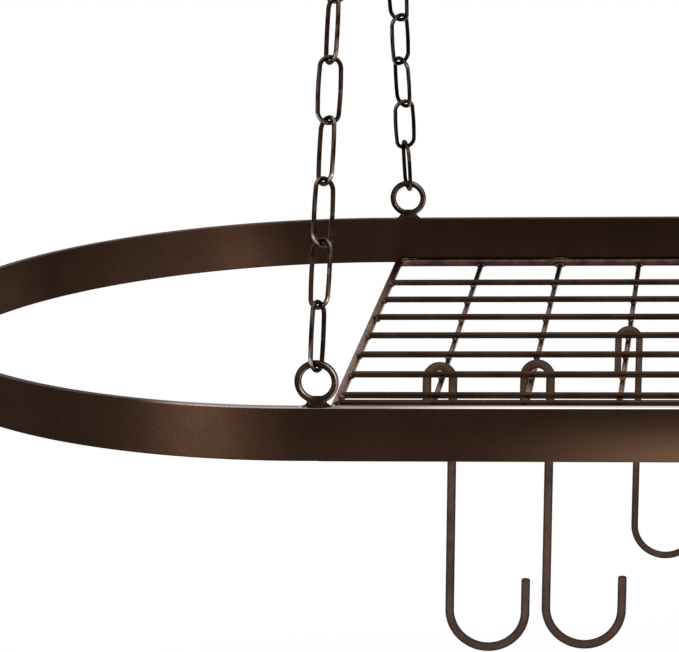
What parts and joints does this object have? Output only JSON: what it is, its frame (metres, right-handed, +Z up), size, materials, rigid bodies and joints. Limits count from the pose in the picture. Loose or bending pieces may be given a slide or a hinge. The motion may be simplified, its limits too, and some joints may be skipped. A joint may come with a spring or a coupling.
{
  "type": "hanging pot rack",
  "caption": "Oval flat-bar pot rack with a welded wire grid, hung by chains from ceiling hooks, with loose pot hooks that swing on the grid rods.",
  "frame": {"origin": "on the ceiling, midway between the two ceiling hooks", "axes": "+Z up, X along the oval, -Y to the front; the rack hangs below the origin"},
  "size_m": [0.914, 0.5008, 0.7584],
  "materials": {
    "band": "oil-rubbed bronze coating on a flat steel bar, satin",
    "grid_rods": "oil-rubbed bronze coating on welded steel rod, satin",
    "rings": "oil-rubbed bronze coating, semi-gloss",
    "chain": "oil-rubbed bronze coating on steel chain, semi-gloss",
    "pot_hooks": "oil-rubbed bronze coating on bent steel wire, satin",
    "ceiling_hooks": "oil-rubbed bronze coating on a steel screw hook, satin"
  },
  "bodies": {
    "ceiling": {"ceiling_hook_left": "ceiling_hooks", "ceiling_hook_right": "ceiling_hooks"},
    "hangers": {"top_link_front_left": "chain", "top_link_back_left": "chain", "top_link_back_right": "chain", "top_link_front_right": "chain"},
    "chains_left": {"upper_chain_front_left": "chain", "upper_chain_back_left": "chain"},
    "chains_right": {"upper_chain_back_right": "chain", "upper_chain_front_right": "chain"},
    "rack": {"oval_band": "band", "grid_frame": "grid_rods", "cross_rod_1": "grid_rods", "cross_rod_2": "grid_rods", "cross_rod_3": "grid_rods", "cross_rod_4": "grid_rods", "cross_rod_5": "grid_rods", "cross_rod_6": "grid_rods", "cross_rod_7": "grid_rods", "long_rod_1": "grid_rods", "long_rod_2": "grid_rods", "long_rod_3": "grid_rods", "long_rod_4": "grid_rods", "long_rod_5": "grid_rods", "long_rod_6": "grid_rods", "long_rod_7": "grid_rods", "long_rod_8": "grid_rods", "paired_long_rod": "grid_rods", "hanging_ring_front_left": "rings", "hanging_ring_back_left": "rings", "hanging_ring_back_right": "rings", "hanging_ring_front_right": "rings"},
    "large_pot_hook_left_1": {"large_pot_hook_left_1": "pot_hooks"},
    "large_pot_hook_left_2": {"large_pot_hook_left_2": "pot_hooks"},
    "small_pot_hook_left_3": {"small_pot_hook_left_3": "pot_hooks"},
    "large_pot_hook_right_1": {"large_pot_hook_right_1": "pot_hooks"},
    "large_pot_hook_right_2": {"large_pot_hook_right_2": "pot_hooks"},
    "small_pot_hook_right_3": {"small_pot_hook_right_3": "pot_hooks"},
    "chain_link_front_left_1": {"chain_link_front_left_1": "chain"},
    "chain_link_front_left_2": {"chain_link_front_left_2": "chain"},
    "chain_link_front_left_3": {"chain_link_front_left_3": "chain"},
    "chain_link_front_left_4": {"chain_link_front_left_4": "chain"},
    "chain_link_front_left_5": {"chain_link_front_left_5": "chain"},
    "chain_link_back_left_1": {"chain_link_back_left_1": "chain"},
    "chain_link_back_left_2": {"chain_link_back_left_2": "chain"},
    "chain_link_back_left_3": {"chain_link_back_left_3": "chain"},
    "chain_link_back_left_4": {"chain_link_back_left_4": "chain"},
    "chain_link_back_left_5": {"chain_link_back_left_5": "chain"},
    "chain_link_back_right_1": {"chain_link_back_right_1": "chain"},
    "chain_link_back_right_2": {"chain_link_back_right_2": "chain"},
    "chain_link_back_right_3": {"chain_link_back_right_3": "chain"},
    "chain_link_back_right_4": {"chain_link_back_right_4": "chain"},
    "chain_link_back_right_5": {"chain_link_back_right_5": "chain"},
    "chain_link_front_right_1": {"chain_link_front_right_1": "chain"},
    "chain_link_front_right_2": {"chain_link_front_right_2": "chain"},
    "chain_link_front_right_3": {"chain_link_front_right_3": "chain"},
    "chain_link_front_right_4": {"chain_link_front_right_4": "chain"},
    "chain_link_front_right_5": {"chain_link_front_right_5": "chain"}
  },
  "joints": [
    {"name": "swing", "type": "hinge", "parent": "ceiling", "child": "hangers", "pos_m": [0, 0, -0.044], "axis": [1, 0, 0], "range_deg": [-12, 12]},
    {"name": "sway_left", "type": "hinge", "parent": "hangers", "child": "chains_left", "pos_m": [-0.18959, 0, -0.07178], "axis": [0, 1, 0], "range_deg": [-7, 7]},
    {"name": "sway_right", "type": "hinge", "parent": "hangers", "child": "chains_right", "pos_m": [0.18959, 0, -0.07178], "axis": [0, 1, 0], "range_deg": [-7, 7]},
    {"name": "rack_level", "type": "hinge", "parent": "chains_left", "child": "rack", "pos_m": [-0.19906, 0, -0.51619], "axis": [0, 1, 0], "range_deg": [-7, 7]},
    {"name": "large_pot_hook_left_1_swing", "type": "hinge", "parent": "rack", "child": "large_pot_hook_left_1", "pos_m": [-0.1512, -0.05856, -0.56488], "axis": [0, 1, 0], "range_deg": [-20, 20]},
    {"name": "large_pot_hook_left_2_swing", "type": "hinge", "parent": "rack", "child": "large_pot_hook_left_2", "pos_m": [-0.1008, -0.05318, -0.56488], "axis": [0, 1, 0], "range_deg": [-20, 20]},
    {"name": "small_pot_hook_left_3_swing", "type": "hinge", "parent": "rack", "child": "small_pot_hook_left_3", "pos_m": [-0.0504, 0.0384, -0.56488], "axis": [0, 1, 0], "range_deg": [-20, 20]},
    {"name": "large_pot_hook_right_1_swing", "type": "hinge", "parent": "rack", "child": "large_pot_hook_right_1", "pos_m": [0.1512, 0.05856, -0.56488], "axis": [0, 1, 0], "range_deg": [-20, 20]},
    {"name": "large_pot_hook_right_2_swing", "type": "hinge", "parent": "rack", "child": "large_pot_hook_right_2", "pos_m": [0.1008, 0.05318, -0.56488], "axis": [0, 1, 0], "range_deg": [-20, 20]},
    {"name": "small_pot_hook_right_3_swing", "type": "hinge", "parent": "rack", "child": "small_pot_hook_right_3", "pos_m": [0.0504, -0.0384, -0.56488], "axis": [0, 1, 0], "range_deg": [-20, 20]},
    {"name": "chain_link_front_left_1_twist", "type": "hinge", "parent": "chains_left", "child": "chain_link_front_left_1", "pos_m": [-0.20013, -0.23829, -0.50028], "axis": [0.0189, 0.4628, 0.8862], "range_deg": [-8, 20]},
    {"name": "chain_link_front_left_2_twist", "type": "hinge", "parent": "chains_left", "child": "chain_link_front_left_2", "pos_m": [-0.1995, -0.22297, -0.47095], "axis": [0.0189, 0.4628, 0.8862], "range_deg": [-20, 20]},
    {"name": "chain_link_front_left_3_twist", "type": "hinge", "parent": "chains_left", "child": "chain_link_front_left_3", "pos_m": [-0.19887, -0.20765, -0.44161], "axis": [0.0189, 0.4628, 0.8862], "range_deg": [-20, 20]},
    {"name": "chain_link_front_left_4_twist", "type": "hinge", "parent": "chains_left", "child": "chain_link_front_left_4", "pos_m": [-0.19825, -0.19233, -0.41228], "axis": [0.0189, 0.4628, 0.8862], "range_deg": [-20, 8]},
    {"name": "chain_link_front_left_5_twist", "type": "hinge", "parent": "chains_left", "child": "chain_link_front_left_5", "pos_m": [-0.19762, -0.17701, -0.38294], "axis": [0.0189, 0.4628, 0.8862], "range_deg": [-8, 20]},
    {"name": "chain_link_back_left_1_twist", "type": "hinge", "parent": "chains_left", "child": "chain_link_back_left_1", "pos_m": [-0.19733, 0.23829, -0.50028], "axis": [0.0189, -0.4628, 0.8862], "range_deg": [-20, 10]},
    {"name": "chain_link_back_left_2_twist", "type": "hinge", "parent": "chains_left", "child": "chain_link_back_left_2", "pos_m": [-0.1967, 0.22297, -0.47095], "axis": [0.0189, -0.4628, 0.8862], "range_deg": [-8, 20]},
    {"name": "chain_link_back_left_3_twist", "type": "hinge", "parent": "chains_left", "child": "chain_link_back_left_3", "pos_m": [-0.19607, 0.20765, -0.44161], "axis": [0.0189, -0.4628, 0.8862], "range_deg": [-20, 8]},
    {"name": "chain_link_back_left_4_twist", "type": "hinge", "parent": "chains_left", "child": "chain_link_back_left_4", "pos_m": [-0.19545, 0.19233, -0.41228], "axis": [0.0189, -0.4628, 0.8862], "range_deg": [-7, 20]},
    {"name": "chain_link_back_left_5_twist", "type": "hinge", "parent": "chains_left", "child": "chain_link_back_left_5", "pos_m": [-0.19482, 0.17701, -0.38294], "axis": [0.0189, -0.4628, 0.8862], "range_deg": [-20, 7]},
    {"name": "chain_link_back_right_1_twist", "type": "hinge", "parent": "chains_right", "child": "chain_link_back_right_1", "pos_m": [0.20013, 0.23829, -0.50028], "axis": [-0.0189, -0.4628, 0.8862], "range_deg": [-8, 20]},
    {"name": "chain_link_back_right_2_twist", "type": "hinge", "parent": "chains_right", "child": "chain_link_back_right_2", "pos_m": [0.1995, 0.22297, -0.47095], "axis": [-0.0189, -0.4628, 0.8862], "range_deg": [-20, 20]},
    {"name": "chain_link_back_right_3_twist", "type": "hinge", "parent": "chains_right", "child": "chain_link_back_right_3", "pos_m": [0.19887, 0.20765, -0.44161], "axis": [-0.0189, -0.4628, 0.8862], "range_deg": [-20, 20]},
    {"name": "chain_link_back_right_4_twist", "type": "hinge", "parent": "chains_right", "child": "chain_link_back_right_4", "pos_m": [0.19825, 0.19233, -0.41228], "axis": [-0.0189, -0.4628, 0.8862], "range_deg": [-20, 8]},
    {"name": "chain_link_back_right_5_twist", "type": "hinge", "parent": "chains_right", "child": "chain_link_back_right_5", "pos_m": [0.19762, 0.17701, -0.38294], "axis": [-0.0189, -0.4628, 0.8862], "range_deg": [-8, 20]},
    {"name": "chain_link_front_right_1_twist", "type": "hinge", "parent": "chains_right", "child": "chain_link_front_right_1", "pos_m": [0.19733, -0.23829, -0.50028], "axis": [-0.0189, 0.4628, 0.8862], "range_deg": [-20, 10]},
    {"name": "chain_link_front_right_2_twist", "type": "hinge", "parent": "chains_right", "child": "chain_link_front_right_2", "pos_m": [0.1967, -0.22297, -0.47095], "axis": [-0.0189, 0.4628, 0.8862], "range_deg": [-8, 20]},
    {"name": "chain_link_front_right_3_twist", "type": "hinge", "parent": "chains_right", "child": "chain_link_front_right_3", "pos_m": [0.19607, -0.20765, -0.44161], "axis": [-0.0189, 0.4628, 0.8862], "range_deg": [-20, 8]},
    {"name": "chain_link_front_right_4_twist", "type": "hinge", "parent": "chains_right", "child": "chain_link_front_right_4", "pos_m": [0.19545, -0.19233, -0.41228], "axis": [-0.0189, 0.4628, 0.8862], "range_deg": [-7, 20]},
    {"name": "chain_link_front_right_5_twist", "type": "hinge", "parent": "chains_right", "child": "chain_link_front_right_5", "pos_m": [0.19482, -0.17701, -0.38294], "axis": [-0.0189, 0.4628, 0.8862], "range_deg": [-20, 7]}
  ],
  "couplings": [
    {"joint": "sway_right", "follows": "sway_left", "ratio": 1},
    {"joint": "rack_level", "follows": "sway_left", "ratio": -0.95241}
  ]
}
